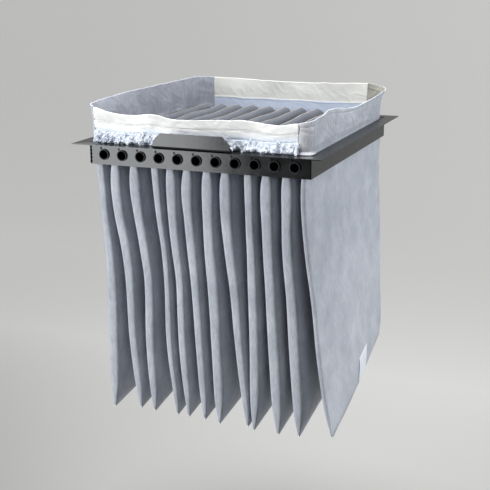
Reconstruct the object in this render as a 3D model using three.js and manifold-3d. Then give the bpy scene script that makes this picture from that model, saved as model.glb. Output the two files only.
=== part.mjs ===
// Bag air filter: a felt dust bag with twelve pockets, hung in a welded sheet-steel seal frame.
// Millimetres, +Z up. Dusty air enters the collar from above and leaves through the pocket walls.
// Origin: centre of the frame opening, in the plane of the flange's upper face. Front is -Y.
import * as THREE from 'three';
import { mergeVertices } from 'three/addons/utils/BufferGeometryUtils.js';
import Module from 'manifold-3d';

const wasm = await Module();
wasm.setup();

// Fit between pieces that touch
const clearance = 0.3;

// Cross tubes that carry the pockets
const tubeCount = 11;
const tubePitch = 50;
const tubeRadius = 13.45;
const tubeWall = 2;
const tubeDrop = 28.5; // from the flange's upper face down to the tube axes
const tubeProud = 4; // how far a tube end stands out of its rail
const tubeHoleSlack = 0.5; // radial

// Seal frame
const railSheet = 2;
const railHeight = 54;
const railBend = 3.5; // outside radius of the rail's bend
const flangeWidth = 33;
const frameDepth = 671;
const neckRoom = 2.05; // from the neck of an outer pocket to the side rail

// Lug on the front flange
const lugWidth = 200;
const lugHeight = 38.5;
const lugChamfer = 20;
const lugSheet = 3;
const lugBend = 8;
const lugFoot = 17;

// Weld beads
const cornerBeadRadius = 2.4;
const cornerBeadRipples = 5;
const tackHeight = 7;
const tackWidth = 3.6;
const tackRise = 15; // above the tube axis
const tackShift = 9; // to the left of the tube axis

// Felt bag
const feltThickness = 2.4;
const sleeveSlack = 0.6; // between a tube and the felt that hangs over it
const ridgeHeight = 18; // sewn ridge crest, above the flange's upper face
const ridgeEndRun = 45; // length over which a ridge falls to the mouth rim at each end
const pocketStepInFront = 2; // by which a pocket draws in below its mouth, at the front
const pocketStepInRear = 21;
const pocketDepthFront = 706; // hem below the flange's upper face, at the front
const pocketDepthRear = 655;
const pocketHem = 5; // thickness of the sewn bottom hem
const hemStrip = 14; // height of the solid strip over the bottom hem
const mouthGap = 2.5; // between the bag's mouth and the front and rear rails
const mouthCorner = 8;
const floorGap = 2.4; // inside a pocket, at the top of the hem strip
const endRoundness = 0.9; // corner radius of a pocket in plan, as a share of its half width
const neckDrop = 56; // level where the pockets leave the frame and begin to hang freely
const rearSwayShare = 0.32; // sway of a pocket's rear edge, as a share of its front edge's

// How far each pocket's front edge hangs to the right of its mouth, as shares of swayReach, at
// the sway stations. The stations are shares of the pocket's free length. Full is the pocket's
// thickness at the full stations, as shares of pocketFullness. Hem is the depth of its hem, as a
// share of the two pocket depths.
const swayReach = 100;
const pocketFullness = 26;
const swayStations = [0, 0.1, 0.2, 0.32, 0.45, 0.72, 1];
const fullStations = [0.08, 0.2, 0.45, 0.72];
const nearHemShare = 0.88; // of the free length; from here a pocket's sides run together
const nearHemWidthShare = 0.6; // of its thickness at the last full station
const pocketHang = [
  {
    sway: [0.06, 0.115, 0.143, 0.22, 0.258, 0.252, 0.238],
    full: [0.75, 0.75, 1.05, 1.12],
    hem: 1.001,
  },
  {
    sway: [-0.02, -0.023, 0.042, 0.179, 0.273, 0.329, 0.514],
    full: [1.2, 1.15, 1.02, 0.82],
    hem: 0.99,
  },
  {
    sway: [0.005, 0.021, 0.096, 0.216, 0.319, 0.306, 0.417],
    full: [1.25, 1.1, 1.05, 1],
    hem: 0.993,
  },
  {
    sway: [0.08, 0.123, 0.18, 0.283, 0.342, 0.38, 0.575],
    full: [0.8, 0.72, 0.62, 0.62],
    hem: 0.994,
  },
  {
    sway: [0, 0.018, 0.045, 0.111, 0.194, 0.238, 0.391],
    full: [1.2, 1.05, 0.8, 0.8],
    hem: 0.994,
  },
  {
    sway: [-0.05, -0.075, -0.029, 0.04, 0.11, 0.206, 0.345],
    full: [1.25, 1.05, 0.92, 0.82],
    hem: 0.996,
  },
  {
    sway: [-0.025, -0.021, -0.013, 0.026, 0.091, 0.168, 0.244],
    full: [1.3, 1.2, 1.2, 1.12],
    hem: 1.003,
  },
  {
    sway: [-0.045, -0.052, -0.026, 0.057, 0.164, 0.311, 0.525],
    full: [1.3, 1.2, 1.05, 0.8],
    hem: 0.996,
  },
  {
    sway: [0.04, 0.059, 0.072, 0.116, 0.152, 0.199, 0.19],
    full: [0.9, 0.85, 1, 1.04],
    hem: 1.006,
  },
  {
    sway: [0, -0.003, 0.022, 0.061, 0.118, 0.223, 0.34],
    full: [1.3, 1.2, 1.12, 1.15],
    hem: 1.009,
  },
  {
    sway: [0.01, 0.02, 0.015, 0.057, 0.14, 0.267, 0.389],
    full: [1.2, 1.04, 1.1, 1.15],
    hem: 1.003,
  },
  {
    sway: [-0.02, -0.01, 0.04, 0.137, 0.261, 0.459, 0.758],
    full: [1, 1, 1, 1],
    hem: 0.99,
  },
];

// Collar above the flange
const collarCloth = 2.4;
const collarHeight = 100; // of the tallest cloth, from which the walls sag
const collarLean = 10;
const collarCorner = 28;
const collarPlainShare = 0.35; // lower share of the collar that stands straight
const frontSeamIn = 29.7; // from the collar's sides to the seams of the front canvas
const rearSeamInLeft = 50.7;
const rearSeamInRight = 47.7;

// Gathered frill at the foot of the front canvas
const frillCloth = 1.6;
const frillHeight = 27;
const frillWave = 30;
const frillSwing = 5;
const frillStandOff = 9;

// Care tag sewn to the last pocket
const tagLength = 100;
const tagHeight = 70;
const tagCloth = 0.8;
const tagCentreY = 26;
const tagLift = 2; // from the bottom hem up to the tag's lower edge

// Values that follow from the driving dimensions
const pocketCount = tubeCount + 1;
const sleeveRadius = tubeRadius + sleeveSlack; // felt runs round the tubes at this radius
const besideTube = tubePitch / 2 - sleeveRadius; // half the neck of a pocket, between two tubes
const railInsideX = tubeCount * tubePitch / 2 + besideTube + neckRoom;
const railOutsideX = railInsideX + railSheet;
const railOutsideY = frameDepth / 2;
const railInsideY = railOutsideY - railSheet;
const flangeEdgeY = railOutsideY + flangeWidth;
const mouthHalfDepth = railInsideY - mouthGap;
const pocketFront = mouthHalfDepth - pocketStepInFront; // from the middle to the front edges
const pocketRear = mouthHalfDepth - pocketStepInRear;
const mouthHalfWidth = railInsideX - clearance;
const frontSeam = mouthHalfWidth - frontSeamIn;
const rearSeamLeft = mouthHalfWidth - rearSeamInLeft;
const rearSeamRight = mouthHalfWidth - rearSeamInRight;
const mouthRim = clearance * 2; // height of the bag's mouth rim, where the collar is sewn on
const collarFoot = mouthRim + clearance;

// Materials
const blackPaint = { color: 0x1d1e1f, roughness: 0.3, metalness: 0.3 };
const greyFelt = { color: 0xbfc4ce, roughness: 0.95, metalness: 0 };
const whiteCanvas = { color: 0xf3f3f0, roughness: 0.9, metalness: 0 };
const tagCoat = { color: 0xe9ebee, roughness: 0.6, metalness: 0 };

const smooth = (t) => {
  const c = Math.min(1, Math.max(0, t));
  return c * c * (3 - 2 * c);
};

// Value at x of the smooth curve through rising stations and their values
function through(stations, values, x) {
  const last = stations.length - 1;
  const clamped = Math.min(stations[last], Math.max(stations[0], x));
  let k = 0;
  while (k < last - 1 && clamped > stations[k + 1]) k += 1;
  const span = stations[k + 1] - stations[k];
  const t = (clamped - stations[k]) / span;
  const slope = (j) => {
    const before = Math.max(0, j - 1);
    const after = Math.min(last, j + 1);
    return (values[after] - values[before]) / (stations[after] - stations[before]);
  };
  const t2 = t * t;
  const t3 = t2 * t;
  return values[k] * (2 * t3 - 3 * t2 + 1)
    + slope(k) * span * (t3 - 2 * t2 + t)
    + values[k + 1] * (3 * t2 - 2 * t3)
    + slope(k + 1) * span * (t3 - t2);
}

// Value at x of the straight pieces between rising stations and their values
function piecewise(stations, values, x) {
  let k = 0;
  while (k < stations.length - 2 && x > stations[k + 1]) k += 1;
  const t = (x - stations[k]) / (stations[k + 1] - stations[k]);
  return THREE.MathUtils.lerp(values[k], values[k + 1], t);
}

// Closed body through a row of rings that have the same number of points. In each ring, point j
// lies across from point n-1-j, so both end caps are strips between the two halves of the ring.
// A wall of cloth has both its sides split along the same diagonals, so that it stays whole where
// it twists: inner(k, j) says whether the quad after ring k and point j is on the inner side.
function loft(rings, inner) {
  const n = rings[0].length;
  const positions = rings.flat().flatMap((p) => [p.x, p.y, p.z]);
  const index = [];
  const quad = (a, b, c, d) => index.push(a, b, c, a, c, d);
  for (let k = 0; k < rings.length - 1; k += 1) {
    for (let j = 0; j < n; j += 1) {
      const next = (j + 1) % n;
      const corners = [k * n + j, k * n + next, (k + 1) * n + next, (k + 1) * n + j];
      if (inner(k, j)) corners.push(corners.shift());
      quad(...corners);
    }
  }
  const top = (rings.length - 1) * n;
  for (let j = 0; j < n / 2 - 1; j += 1) {
    quad(j, n - 1 - j, n - 2 - j, j + 1);
    quad(top + j, top + j + 1, top + n - 2 - j, top + n - 1 - j);
  }
  return facingOut(positions, index);
}

// Geometry with its faces turned outwards
function facingOut(positions, index) {
  const corner = (i) => new THREE.Vector3().fromArray(positions, 3 * index[i]);
  let volume = 0;
  for (let i = 0; i < index.length; i += 3) {
    volume += corner(i).dot(corner(i + 1).cross(corner(i + 2)));
  }
  const turned = volume < 0 ? index.slice().reverse() : index;
  const geometry = new THREE.BufferGeometry();
  geometry.setAttribute('position', new THREE.Float32BufferAttribute(positions, 3));
  geometry.setIndex(turned);
  return geometry;
}

function toSolid(geometry) {
  const bare = geometry.clone();
  bare.deleteAttribute('normal');
  bare.deleteAttribute('uv');
  const merged = mergeVertices(bare, 1e-4);
  return new wasm.Manifold(new wasm.Mesh({
    numProp: 3,
    vertProperties: new Float32Array(merged.attributes.position.array),
    triVerts: new Uint32Array(merged.index.array),
  }));
}

function toGeometry(solid) {
  const mesh = solid.getMesh();
  const geometry = new THREE.BufferGeometry();
  geometry.setAttribute('position', new THREE.BufferAttribute(mesh.vertProperties, 3));
  geometry.setIndex(new THREE.BufferAttribute(mesh.triVerts, 1));
  return geometry;
}

const filter = new THREE.Group();

function addPiece(name, geometry, finish) {
  const mesh = new THREE.Mesh(geometry, new THREE.MeshStandardMaterial(finish));
  mesh.name = name;
  filter.add(mesh);
  return mesh;
}

// Rails: web and outward flange from one folded strip, with mitred ends.
// The profile lies in (out, up), where out is measured from the web's outside face.
function railProfile() {
  const inner = railBend - railSheet;
  const shape = new THREE.Shape();
  shape.moveTo(-railSheet, -railHeight);
  shape.lineTo(0, -railHeight);
  shape.lineTo(0, -railSheet - inner);
  shape.absarc(inner, -railSheet - inner, inner, Math.PI, Math.PI / 2, true);
  shape.lineTo(flangeWidth, -railSheet);
  shape.lineTo(flangeWidth, 0);
  shape.lineTo(railBend - railSheet, 0);
  shape.absarc(railBend - railSheet, -railBend, railBend, Math.PI / 2, Math.PI, false);
  shape.closePath();
  return shape;
}

// The strip is extruded by a unit length and its end faces are then moved out to the mitres.
function railGeometry(outsideLength) {
  const bar = new THREE.ExtrudeGeometry(railProfile(), {
    depth: 1,
    steps: 1,
    curveSegments: 3,
    bevelEnabled: false,
  });
  const place = bar.attributes.position;
  const mitreGap = clearance * Math.SQRT1_2;
  for (let i = 0; i < place.count; i += 1) {
    const out = place.getX(i);
    const up = place.getY(i);
    const end = place.getZ(i) > 0.5 ? -1 : 1;
    const reach = outsideLength / 2 + out - mitreGap;
    place.setXYZ(i, end * reach, -out, up);
  }
  return bar;
}

function tubeX(number) {
  return (number - (tubeCount + 1) / 2) * tubePitch;
}

// Rippled weld bead, standing along Z with its upper end at the origin
function cornerBead() {
  const length = railHeight - 2 * railBend;
  const step = length / cornerBeadRipples;
  const profile = [new THREE.Vector2(0, -length)];
  for (let k = 0; k < cornerBeadRipples; k += 1) {
    profile.push(new THREE.Vector2(cornerBeadRadius * 0.6, -length + k * step));
    profile.push(new THREE.Vector2(cornerBeadRadius, -length + (k + 0.5) * step));
  }
  profile.push(new THREE.Vector2(cornerBeadRadius * 0.6, 0));
  profile.push(new THREE.Vector2(0, 0));
  const bead = new THREE.LatheGeometry(profile, 6);
  bead.rotateX(Math.PI / 2);
  return bead;
}

// Front or rear rail: holes for the tubes, and the weld metal that sits on its outer face
function drilledRail() {
  let rail = toSolid(railGeometry(2 * railOutsideX));
  const holeRadius = tubeRadius + tubeHoleSlack;
  for (let number = 1; number <= tubeCount; number += 1) {
    const drill = new THREE.CylinderGeometry(holeRadius, holeRadius, 6 * railSheet, 16);
    drill.translate(tubeX(number), railSheet / 2, -tubeDrop);
    rail = rail.subtract(toSolid(drill));
    const tack = new THREE.SphereGeometry(tackWidth / 2, 5, 4);
    tack.rotateX(Math.PI / 2);
    tack.scale(1, 1, tackHeight / tackWidth);
    tack.translate(tubeX(number) - tackShift, -tackWidth / 4, -tubeDrop + tackRise);
    rail = rail.add(toSolid(tack));
  }
  for (const side of [-1, 1]) {
    const bead = cornerBead();
    const inset = cornerBeadRadius + clearance;
    bead.translate(side * (railOutsideX - inset), -cornerBeadRadius * 0.35, -1.5 * railBend);
    rail = rail.add(toSolid(bead));
  }
  return toGeometry(rail);
}

function addFrame() {
  const drilled = drilledRail();
  const side = railGeometry(2 * railOutsideY);
  const rails = [
    ['front_rail', drilled, 0, -railOutsideY, 0],
    ['right_rail', side, railOutsideX, 0, Math.PI / 2],
    ['rear_rail', drilled, 0, railOutsideY, Math.PI],
    ['left_rail', side, -railOutsideX, 0, -Math.PI / 2],
  ];
  for (const [name, geometry, x, y, turn] of rails) {
    const rail = addPiece(name, geometry, blackPaint);
    rail.position.set(x, y, 0);
    rail.rotation.z = turn;
  }
}

function addTubes() {
  const half = railOutsideY + tubeProud;
  const bore = tubeRadius - tubeWall;
  const profile = [
    new THREE.Vector2(bore, -half),
    new THREE.Vector2(tubeRadius, -half),
    new THREE.Vector2(tubeRadius, half),
    new THREE.Vector2(bore, half),
    new THREE.Vector2(bore, -half),
  ];
  const geometry = new THREE.LatheGeometry(profile, 16);
  for (let number = 1; number <= tubeCount; number += 1) {
    const tube = addPiece(`tube_${String(number).padStart(2, '0')}`, geometry, blackPaint);
    tube.position.set(tubeX(number), 0, -tubeDrop);
  }
}

// Lifting lug: an angle whose foot lies on the flange, with chamfered upper corners
function addLug() {
  const inner = lugBend - lugSheet;
  const face = -flangeEdgeY;
  const section = new THREE.Shape();
  section.moveTo(lugFoot, 0);
  section.lineTo(lugFoot, lugSheet);
  section.lineTo(lugBend, lugSheet);
  section.absarc(lugBend, lugBend, inner, -Math.PI / 2, -Math.PI, true);
  section.lineTo(lugSheet, lugHeight);
  section.lineTo(0, lugHeight);
  section.lineTo(0, lugBend);
  section.absarc(lugBend, lugBend, lugBend, Math.PI, 1.5 * Math.PI, false);
  section.closePath();
  const bar = new THREE.ExtrudeGeometry(section, {
    depth: lugWidth,
    curveSegments: 5,
    bevelEnabled: false,
  });
  bar.applyMatrix4(new THREE.Matrix4().set(
    0, 0, 1, -lugWidth / 2,
    1, 0, 0, face,
    0, 1, 0, clearance,
    0, 0, 0, 1,
  ));
  let lug = toSolid(bar);
  const shift = lugChamfer * (1 - Math.SQRT1_2) * Math.SQRT1_2;
  for (const side of [-1, 1]) {
    const corner = new THREE.BoxGeometry(lugChamfer * 2, lugFoot * 3, lugChamfer * 2);
    corner.rotateY(Math.PI / 4);
    corner.translate(side * (lugWidth / 2 + shift), face, lugHeight + clearance + shift);
    lug = lug.subtract(toSolid(corner));
  }
  addPiece('front_lug', toGeometry(lug), blackPaint);
}

// Pockets: twelve felt envelopes, open at the top. Between two pockets the felt rises round the
// tube to a sewn ridge, so each long side ends in half a ridge. Beside a side rail it ends at the
// mouth rim, under the collar.
const pocketX = (number) => (number - (pocketCount + 1) / 2) * tubePitch;

// Height of the ridge crest above the flange's upper face, at depth y
function crestHeight(y) {
  const rise = smooth((mouthHalfDepth - mouthCorner / 2 - Math.abs(y)) / ridgeEndRun);
  return mouthRim + (ridgeHeight - mouthRim) * rise;
}

// Share of the way from a pocket's front edge to its rear edge
const towardsRear = (y) => (y + pocketFront) / (pocketFront + pocketRear);

function hemLevel(number, y) {
  const depth = THREE.MathUtils.lerp(pocketDepthFront, pocketDepthRear, towardsRear(y));
  return -depth * pocketHang[number - 1].hem;
}

function swayAt(number, share, y) {
  const front = swayReach * through(swayStations, pocketHang[number - 1].sway, share);
  return front * THREE.MathUtils.lerp(1, rearSwayShare, towardsRear(y));
}

// Distance of the felt's tube side from the plane of the tube axis, and its height
function ridgeSection(station, y) {
  const crest = crestHeight(y) + tubeDrop;
  const lean = Math.asin(sleeveRadius / crest);
  const sections = {
    crest: [clearance / 2, crest],
    tangent: [sleeveRadius * Math.cos(lean), sleeveRadius * Math.sin(lean)],
    beside: [sleeveRadius, 0],
  };
  const [off, up] = sections[station];
  return { off, z: up - tubeDrop };
}

// The levels of the pocket wall from the ridge crest down to the hem. In the mouth a level names
// a place on the ridge, and below it a share of the free length.
const upperLevels = [
  { station: 'crest' },
  { station: 'tangent' },
  { station: 'beside' },
  { share: 0 },
  ...fullStations.map((share) => ({ share })),
  { share: nearHemShare },
];
const outerLevels = [...upperLevels, { share: 1 }];
const innerLevels = [...upperLevels, { share: 1, floor: true }];

// Half the thickness of a pocket at a share of its free length
function halfWidth(number, share) {
  const full = pocketHang[number - 1].full.map((part) => part * pocketFullness / 2);
  return piecewise(
    [0, ...fullStations, nearHemShare, 1],
    [besideTube, ...full, nearHemWidthShare * full[full.length - 1], pocketHem / 2],
    share,
  );
}

// Half the depth of the pocket at a level, towards the front (end -1) or the rear (end 1)
function halfDepth(level, end) {
  const free = end < 0 ? pocketFront : pocketRear;
  const widening = { crest: 1, tangent: 0.55, beside: 0.4 };
  return THREE.MathUtils.lerp(free, mouthHalfDepth, widening[level.station] ?? 0);
}

// One point of a pocket ring. Side is -1 or 1 for left or right, end for front or rear, and
// angle runs from 0 on the long side to a quarter turn on the short side.
function pocketPoint(number, level, inset, side, end, angle, run) {
  const deep = halfDepth(level, end) - inset;
  const mouth = level.station !== undefined;
  const railSide = (number === 1 && side < 0) || (number === pocketCount && side > 0);
  const centre = pocketX(number);
  const corner = (wide) => Math.min(mouth ? mouthCorner : Infinity, endRoundness * wide);
  let wide = floorGap / 2;
  if (mouth) wide = besideTube - inset;
  else if (!level.floor) wide = halfWidth(number, level.share) - inset;
  const radius = corner(wide);
  const y = end * (deep - radius * (1 - Math.sin(angle)) - run);
  let z;
  let x = centre;
  if (mouth && railSide) {
    wide = mouthHalfWidth - Math.abs(centre) - inset;
    z = level.station === 'crest' ? mouthRim : -tubeDrop;
    if (level.station === 'tangent') z = -tubeDrop * 0.8;
  } else if (mouth) {
    const section = ridgeSection(level.station, y);
    wide = tubePitch / 2 - section.off - inset;
    z = section.z;
  } else {
    const fall = neckDrop + hemLevel(number, y);
    const share = level.floor ? 1 + hemStrip / fall : level.share;
    z = share * fall - neckDrop;
    x += swayAt(number, share, y);
  }
  x += side * (wide - radius * (1 - Math.cos(angle)));
  return new THREE.Vector3(x, y, z);
}

function pocketRing(number, level, inset) {
  const quarter = [0, 1, 2].map((k) => k * Math.PI / 4);
  const ring = [];
  const arc = (side, end, angles) => {
    for (const angle of angles) ring.push(pocketPoint(number, level, inset, side, end, angle, 0));
  };
  const flat = (side, end) => ring.push(pocketPoint(number, level, inset, side, end, 0, ridgeEndRun));
  arc(-1, -1, quarter.slice().reverse());
  flat(-1, -1);
  flat(-1, 1);
  arc(-1, 1, quarter);
  arc(1, 1, quarter.slice().reverse());
  flat(1, 1);
  flat(1, -1);
  arc(1, -1, quarter);
  return ring;
}

function addPockets() {
  for (let number = 1; number <= pocketCount; number += 1) {
    const outside = outerLevels.map((level) => pocketRing(number, level, 0)).reverse();
    const inside = innerLevels.map((level) => pocketRing(number, level, feltThickness));
    const name = `pocket_${String(number).padStart(2, '0')}`;
    addPiece(name, loft([...outside, ...inside], (k) => k >= outside.length), greyFelt);
  }
}

// Collar: a band of cloth that stands on the bag's mouth rim, on a rounded rectangle in plan.
// Felt sides wrap the corners, and canvas closes the front and the rear.
function sidePath(side, rearSeam) {
  const x = mouthHalfWidth;
  const y = mouthHalfDepth;
  const r = collarCorner;
  const path = new THREE.Path();
  path.moveTo(side * (frontSeam + clearance / 2), -y);
  path.lineTo(side * (x - r), -y);
  if (side < 0) {
    path.absarc(-(x - r), -(y - r), r, -Math.PI / 2, -Math.PI, true);
    path.lineTo(-x, y - r);
    path.absarc(-(x - r), y - r, r, Math.PI, Math.PI / 2, true);
  } else {
    path.absarc(x - r, -(y - r), r, -Math.PI / 2, 0, false);
    path.lineTo(x, y - r);
    path.absarc(x - r, y - r, r, 0, Math.PI / 2, false);
  }
  path.lineTo(side * (rearSeam + clearance / 2), y);
  return path;
}

function straightPath(fromX, toX, y) {
  const path = new THREE.Path();
  path.moveTo(fromX, y);
  path.lineTo(toX, y);
  return path;
}

// Stands a wall of cloth on a path. Its heights, as shares of collarHeight, and its flares, as
// shares of collarLean, are given at shares of its length. A flare leans the top outwards.
function clothWall(path, count, shares, heights, flares) {
  const rows = [0, collarPlainShare, 0.7, 1];
  const rings = [];
  for (let k = 0; k <= count; k += 1) {
    const u = k / count;
    const foot = path.getPointAt(u);
    const along = path.getTangentAt(u);
    const outward = new THREE.Vector2(along.y, -along.x);
    if (outward.dot(foot) < 0) outward.negate();
    const height = through(shares, heights, u) * collarHeight - collarFoot;
    const flare = through(shares, flares, u) * collarLean;
    const point = (row, depth) => {
      const lean = flare * Math.max(0, (row - collarPlainShare) / (1 - collarPlainShare)) ** 2;
      const x = foot.x + outward.x * (lean - depth);
      const y = foot.y + outward.y * (lean - depth);
      return new THREE.Vector3(x, y, collarFoot + row * height);
    };
    const outside = rows.map((row) => point(row, 0));
    const inside = rows.map((row) => point(row, collarCloth)).reverse();
    rings.push([...outside, ...inside]);
  }
  return loft(rings, (k, j) => j >= rows.length - 1);
}

function addCollar() {
  const y = mouthHalfDepth;
  const seam = clearance / 2;
  addPiece('collar_left', clothWall(
    sidePath(-1, rearSeamLeft), 22,
    [0, 0.05, 0.12, 0.45, 0.9, 1],
    [0.9, 0.91, 0.88, 0.99, 0.97, 0.96],
    [0.2, 0.7, 0.6, 0.1, 0.3, 0],
  ), greyFelt);
  addPiece('collar_right', clothWall(
    sidePath(1, rearSeamRight), 22,
    [0, 0.05, 0.12, 0.25, 0.52, 0.75, 0.91, 1],
    [0.75, 0.8, 0.84, 0.89, 0.68, 0.71, 0.84, 0.95],
    [0, 0.1, 0.2, 0, -0.2, 0.4, 1.1, 0.5],
  ), greyFelt);
  addPiece('collar_front', clothWall(
    straightPath(-frontSeam + seam, frontSeam - seam, -y), 12,
    [0, 0.15, 0.35, 0.6, 0.8, 1],
    [0.9, 0.87, 0.85, 0.78, 0.79, 0.75],
    [0.2, -0.1, 0.3, 0.1, -0.2, 0],
  ), whiteCanvas);
  addPiece('collar_rear', clothWall(
    straightPath(-rearSeamLeft + seam, rearSeamRight - seam, y), 12,
    [0, 0.2, 0.4, 0.6, 0.8, 1],
    [0.96, 0.94, 0.91, 0.9, 0.92, 0.95],
    [0, 0.3, -0.1, 0.2, 0, 0.4],
  ), whiteCanvas);
}

// Frill: raw-edged gathers, sewn to the canvas at the top and standing off it at the flange
function addFrill() {
  const from = -frontSeam;
  const length = 2 * frontSeam;
  const steps = Math.round(length / frillWave) * 4;
  const sewn = -(mouthHalfDepth + clearance);
  const rings = [];
  for (let k = 0; k <= steps; k += 1) {
    const x = from + length * k / steps;
    const swing = frillSwing * Math.sin(k * Math.PI / 2);
    const section = (depth) => [
      new THREE.Vector3(x, sewn - frillStandOff - swing - depth, clearance),
      new THREE.Vector3(x, sewn - depth, frillHeight),
    ];
    rings.push([...section(frillCloth), ...section(0).reverse()]);
  }
  addPiece('front_frill', loft(rings, (k, j) => j >= 1), whiteCanvas);
}

// Care tag: a thin coated patch on the outer face of the last pocket, along its bottom hem
function addTag() {
  const number = pocketCount;
  const face = (y, z) => {
    const share = (z + neckDrop) / (hemLevel(number, y) + neckDrop);
    return pocketX(number) + swayAt(number, share, y) + halfWidth(number, share);
  };
  const rings = [];
  const stand = clearance * 3;
  for (const along of [-0.5, 0, 0.5]) {
    const y = tagCentreY + along * tagLength;
    const column = (off) => [0, 0.5, 1].map((up) => {
      const z = hemLevel(number, y) + tagLift + up * tagHeight;
      return new THREE.Vector3(face(y, z) + off, y, z);
    });
    rings.push([...column(stand + tagCloth), ...column(stand).reverse()]);
  }
  addPiece('care_tag', loft(rings, (k, j) => j >= 2), tagCoat);
}

addFrame();
addTubes();
addLug();
addPockets();
addCollar();
addFrill();
addTag();

export default filter;
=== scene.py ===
# %% [markdown]
# # A felt pocket filter in a black steel frame
# The filter is a sewn dust bag. Twelve flat felt pockets hang between eleven steel tubes, and a
# cloth collar stands above the flange of the frame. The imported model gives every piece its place.
# This lesson dresses it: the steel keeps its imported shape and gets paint, and each cloth piece is
# made again as a finer sheet, because felt and canvas show their folds and stitches.

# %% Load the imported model
import math
import bmesh
import bpy
from mathutils import Matrix, Vector, noise


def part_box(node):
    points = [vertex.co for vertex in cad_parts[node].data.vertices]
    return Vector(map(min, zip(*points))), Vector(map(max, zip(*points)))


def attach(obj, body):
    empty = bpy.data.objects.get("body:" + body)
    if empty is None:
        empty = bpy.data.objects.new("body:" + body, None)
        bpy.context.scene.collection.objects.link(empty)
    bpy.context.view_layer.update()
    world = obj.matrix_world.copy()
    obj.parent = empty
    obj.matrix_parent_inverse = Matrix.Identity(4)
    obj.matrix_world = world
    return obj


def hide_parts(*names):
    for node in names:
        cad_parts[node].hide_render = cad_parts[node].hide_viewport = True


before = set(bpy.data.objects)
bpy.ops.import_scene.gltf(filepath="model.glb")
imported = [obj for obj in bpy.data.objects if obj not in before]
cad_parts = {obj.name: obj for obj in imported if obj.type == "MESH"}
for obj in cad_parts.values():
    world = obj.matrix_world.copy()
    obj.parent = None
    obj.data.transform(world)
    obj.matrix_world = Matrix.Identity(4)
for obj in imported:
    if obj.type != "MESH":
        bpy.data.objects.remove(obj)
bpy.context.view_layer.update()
print("packed nodes:", len(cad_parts))

# %% [markdown]
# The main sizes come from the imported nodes' boxes, so the cloth meets the steel. Smaller ones are
# named where they are first needed.
# Lengths are in metres, +Z is up, the front is -Y, and the flange's upper face is at z = 0.

# %% Sizes read from the frame
MM = 0.001
TUBES = [f"tube_{k:02d}" for k in range(1, 12)]
POCKETS = [f"pocket_{k:02d}" for k in range(1, 13)]
RAILS = ["right_rail", "rear_rail", "left_rail"]


def middle(node):
    low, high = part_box(node)
    return (Vector(low) + Vector(high)) / 2


tube_x = [middle(tube).x for tube in TUBES]
tube_z = middle(TUBES[0]).z
tube_radius = (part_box(TUBES[0])[1][2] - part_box(TUBES[0])[0][2]) / 2
pitch = tube_x[1] - tube_x[0]
mouth_half_x = -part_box("pocket_01")[0][0]
mouth_half_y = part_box("pocket_06")[1][1]
hem_front_z = [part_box(pocket)[0][2] for pocket in POCKETS]
print("pitch", round(pitch, 4), "mouth", round(mouth_half_x, 4), round(mouth_half_y, 4))

# %% [markdown]
# A few small helpers carry the whole lesson. `through` draws a smooth curve through a few chosen
# values. `skin` joins rings of points into one closed mesh. `mix` and `smooth` blend two values.

# %% Curves and skins
def smooth(t):
    t = min(1.0, max(0.0, t))
    return t * t * (3 - 2 * t)


def mix(a, b, t):
    return a + (b - a) * t


def through(stations, values, x):
    last = len(stations) - 1
    x = min(stations[last], max(stations[0], x))
    k = 0
    while k < last - 1 and x > stations[k + 1]:
        k += 1
    span = stations[k + 1] - stations[k]
    t = (x - stations[k]) / span

    def slope(j):
        before, after = max(0, j - 1), min(last, j + 1)
        return (values[after] - values[before]) / (stations[after] - stations[before])

    t2, t3 = t * t, t * t * t
    return (values[k] * (2 * t3 - 3 * t2 + 1) + slope(k) * span * (t3 - 2 * t2 + t)
            + values[k + 1] * (3 * t2 - 2 * t3) + slope(k + 1) * span * (t3 - t2))


def placed(name, data):
    """Puts data into the scene as an object that stays at the origin until it is moved."""
    made = bpy.data.objects.new(name, data)
    bpy.context.scene.collection.objects.link(made)
    return made


def skin(name, rings):
    """Closed mesh object through rings of points. The first and the last ring are capped."""
    n = len(rings[0])
    verts = [tuple(p) for ring in rings for p in ring]
    faces = []
    for k in range(len(rings) - 1):
        for j in range(n):
            nxt = (j + 1) % n
            faces.append((k * n + j, k * n + nxt, (k + 1) * n + nxt, (k + 1) * n + j))
    top = (len(rings) - 1) * n
    for j in range(n // 2 - 1):
        faces.append((j, n - 1 - j, n - 2 - j, j + 1))
        faces.append((top + j, top + j + 1, top + n - 2 - j, top + n - 1 - j))
    mesh = bpy.data.meshes.new(name)
    mesh.from_pydata(verts, [], faces)
    bm = bmesh.new()
    bm.from_mesh(mesh)
    bmesh.ops.recalc_face_normals(bm, faces=bm.faces)
    bm.to_mesh(mesh)
    bm.free()
    for polygon in mesh.polygons:
        polygon.use_smooth = True
    return placed(name, mesh)


print("helpers ready")

# %% [markdown]
# ## Finishes
# Each effect that several finishes share is one node group with named sockets. `felt_fibre` gives
# the cloudy mottling and the short vertical fibres of needled felt. `woven` gives a plain weave.
# The groups put out colours, masks and heights, and each material keeps its own shader.

# %% Node helpers
def socket(tree, name, kind, value=None, out=False):
    made = tree.interface.new_socket(
        name=name, in_out="OUTPUT" if out else "INPUT", socket_type=kind)
    if value is not None:
        made.default_value = value
    return made


def add(tree, kind, **values):
    node = tree.nodes.new(kind)
    for key, value in values.items():
        if hasattr(node, key):
            setattr(node, key, value)
        else:
            node.inputs[key.replace("_", " ")].default_value = value
    return node


def linear(red, green, blue):
    """Colour given as on a screen, 0 to 255, turned into the linear values that shaders use."""
    def one(c):
        c /= 255
        return c / 12.92 if c <= 0.04045 else ((c + 0.055) / 1.055) ** 2.4
    return (one(red), one(green), one(blue), 1.0)


def new_finish(name):
    """A new material with its node tree and its shader."""
    material = bpy.data.materials.new(name)
    material.use_nodes = True
    tree = material.node_tree
    return material, tree, tree.nodes["Principled BSDF"]


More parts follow.
